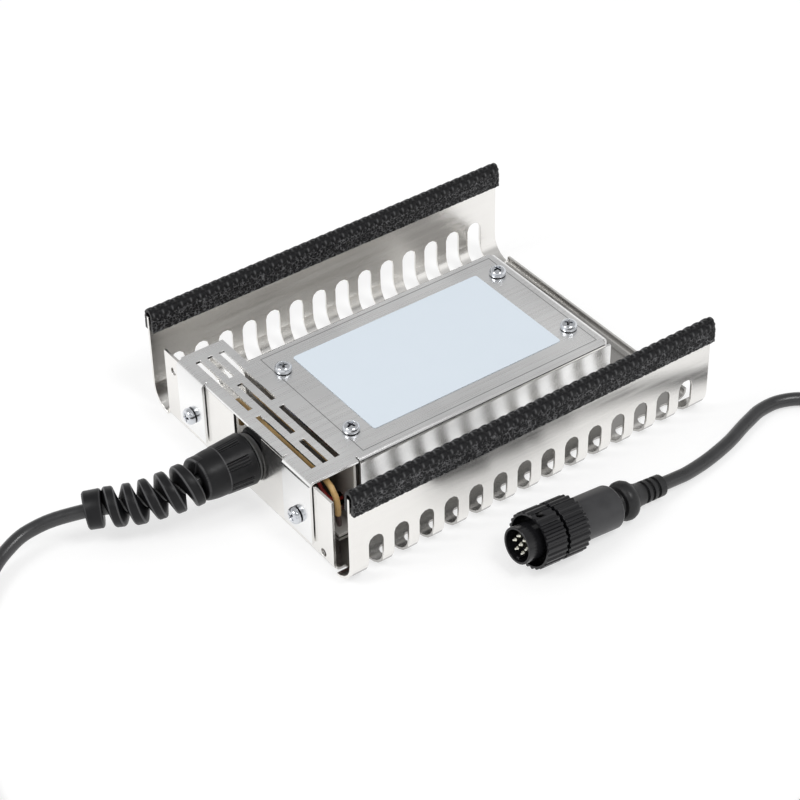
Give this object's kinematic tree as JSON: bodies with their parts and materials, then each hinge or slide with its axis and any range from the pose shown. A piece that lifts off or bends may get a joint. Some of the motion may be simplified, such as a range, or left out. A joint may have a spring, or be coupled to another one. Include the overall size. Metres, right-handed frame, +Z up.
{
  "type": "pcb preheater",
  "caption": "Low steel tray with rubber-edged slotted walls round a flat boxed heating plate, with a spiral-relief cord and a round bayonet plug.",
  "frame": {"origin": "middle of the tray's flat base, on its outer face, which rests on the bench", "axes": "+X along the tray, away from the cord; +Y towards the far wall, away from the plug; +Z up"},
  "size_m": [0.3279, 0.2796, 0.0404],
  "materials": {
    "steel_sheet": "bright rolled stainless sheet",
    "brushed_cover": "brushed stainless sheet",
    "rubber_trim": "pebbled black edge trim",
    "label_film": "smooth pale film, bare",
    "zinc_screw": "bright zinc plate",
    "spreader_aluminium": "milled",
    "mica_element": "pressed mica board",
    "insulation_fibre": "ceramic fibre felt",
    "black_nylon": "moulded black nylon",
    "soft_rubber": "smooth soft moulding",
    "cord_jacket": "smooth flexible jacket",
    "glass_fibre_sleeve": "braided varnished sleeve",
    "lead_brown": "heat proof wire jacket",
    "core_red": "wire jacket",
    "core_blue": "wire jacket",
    "core_white": "wire jacket",
    "core_earth": "wire jacket",
    "plug_plastic": "moulded satin black",
    "pin_metal": "plated contact pins"
  },
  "bodies": {
    "plate": {"tray": "steel_sheet", "end_plate": "steel_sheet", "cover": "brushed_cover", "trim_near": "rubber_trim", "trim_far": "rubber_trim", "label": "label_film", "cover_screw_1": "zinc_screw", "cover_screw_2": "zinc_screw", "cover_screw_3": "zinc_screw", "cover_screw_4": "zinc_screw", "cover_post_1": "zinc_screw", "cover_post_2": "zinc_screw", "cover_post_3": "zinc_screw", "cover_post_4": "zinc_screw", "ear_screw_1": "zinc_screw", "ear_screw_2": "zinc_screw", "ear_nut_1": "zinc_screw", "ear_nut_2": "zinc_screw", "earth_lug": "zinc_screw", "temperature_sensor": "zinc_screw", "heat_spreader": "spreader_aluminium", "heating_element": "mica_element", "insulation_board": "mica_element", "insulation_pad": "insulation_fibre", "gland_body": "black_nylon", "gland_lock_nut": "black_nylon", "gland_seal": "soft_rubber", "dome_nut": "black_nylon", "cord_gland_side": "cord_jacket", "cord_coil": "cord_jacket", "cord_plug_side": "cord_jacket", "cord_tie": "black_nylon", "sleeved_lead": "glass_fibre_sleeve", "heater_lead": "lead_brown", "core_red": "core_red", "core_blue": "core_blue", "core_white": "core_white", "core_earth": "core_earth", "plug_insert": "plug_plastic", "plug_pin_1": "pin_metal", "plug_pin_2": "pin_metal", "plug_pin_3": "pin_metal", "plug_pin_4": "pin_metal", "plug_pin_5": "pin_metal", "plug_pin_6": "pin_metal", "plug_pin_7": "pin_metal", "clamping_ring": "plug_plastic", "plug_sleeve": "plug_plastic", "plug_boot": "soft_rubber"},
    "ring": {"coupling_ring": "plug_plastic"}
  },
  "joints": [
    {"name": "coupling_ring_turn", "type": "hinge", "parent": "plate", "child": "ring", "pos_m": [-0.024, -0.0862, 0.012], "axis": [0.9916, 0.029, -0.1261], "range_deg": [0, 90]}
  ]
}
